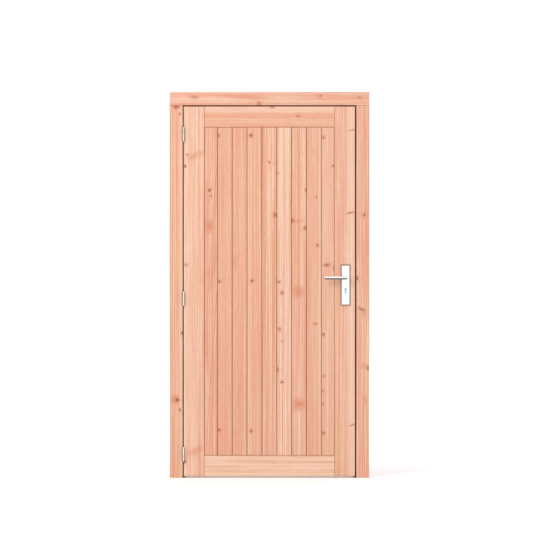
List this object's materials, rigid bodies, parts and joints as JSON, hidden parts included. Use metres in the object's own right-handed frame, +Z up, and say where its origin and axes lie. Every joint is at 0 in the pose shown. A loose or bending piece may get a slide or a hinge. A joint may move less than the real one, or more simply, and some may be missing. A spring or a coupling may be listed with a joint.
{
  "type": "boarded timber door in its frame",
  "caption": "Single garden or shed door: a framed leaf of V-jointed timber boards on butt hinges in a timber frame, with a lever handle on a long plate and a mortise lock.",
  "frame": {"origin": "on the outer side face of the hinge jamb, at floor level, half way through the frame's depth", "axes": "+X across the door from the hinge jamb to the lock jamb, +Y from the front face to the back, +Z up"},
  "size_m": [1.0815, 0.155, 2.09],
  "materials": {
    "frame_timber": "planed softwood, untreated, pinkish",
    "leaf_timber": "planed softwood, untreated, pinkish",
    "board_timber": "planed softwood, untreated, with knots",
    "hinge_steel": "zinc plated",
    "lock_steel": "zinc plated",
    "cylinder_metal": "satin nickel plated",
    "lever_aluminium": "satin anodised"
  },
  "bodies": {
    "frame": {"hinge_jamb": "frame_timber", "lock_jamb": "frame_timber", "frame_head": "frame_timber", "hinge_stop": "frame_timber", "lock_stop": "frame_timber", "head_stop": "frame_timber", "strike_plate": "lock_steel", "top_hinge_jamb_plate": "hinge_steel", "middle_hinge_jamb_plate": "hinge_steel", "bottom_hinge_jamb_plate": "hinge_steel", "top_hinge_pin": "hinge_steel", "middle_hinge_pin": "hinge_steel", "bottom_hinge_pin": "hinge_steel"},
    "leaf": {"hinge_stile": "leaf_timber", "lock_stile": "leaf_timber", "top_rail": "leaf_timber", "bottom_rail": "leaf_timber", "board_1": "board_timber", "board_2": "board_timber", "board_3": "board_timber", "board_4": "board_timber", "board_5": "board_timber", "board_6": "board_timber", "board_7": "board_timber", "board_8": "board_timber", "board_9": "board_timber", "top_hinge_leaf_plate": "hinge_steel", "middle_hinge_leaf_plate": "hinge_steel", "bottom_hinge_leaf_plate": "hinge_steel", "lock_case": "lock_steel", "latch_bolt": "lock_steel", "dead_bolt": "lock_steel", "lock_cylinder": "cylinder_metal", "front_plug": "cylinder_metal", "back_plug": "cylinder_metal", "front_plate": "lever_aluminium", "back_plate": "lever_aluminium"},
    "handle": {"front_lever": "lever_aluminium", "back_lever": "lever_aluminium", "spindle": "lock_steel"}
  },
  "joints": [
    {"name": "door_swing", "type": "hinge", "parent": "frame", "child": "leaf", "pos_m": [0.0725, -0.0425, 1], "axis": [0, 0, -1], "range_deg": [0, 170]},
    {"name": "handle_turn", "type": "hinge", "parent": "leaf", "child": "handle", "pos_m": [0.953, -0.015, 1.084], "axis": [0, -1, 0], "range_deg": [0, 45], "stiffness_Nm_per_rad": 1.5, "springref_deg": -28.65}
  ]
}
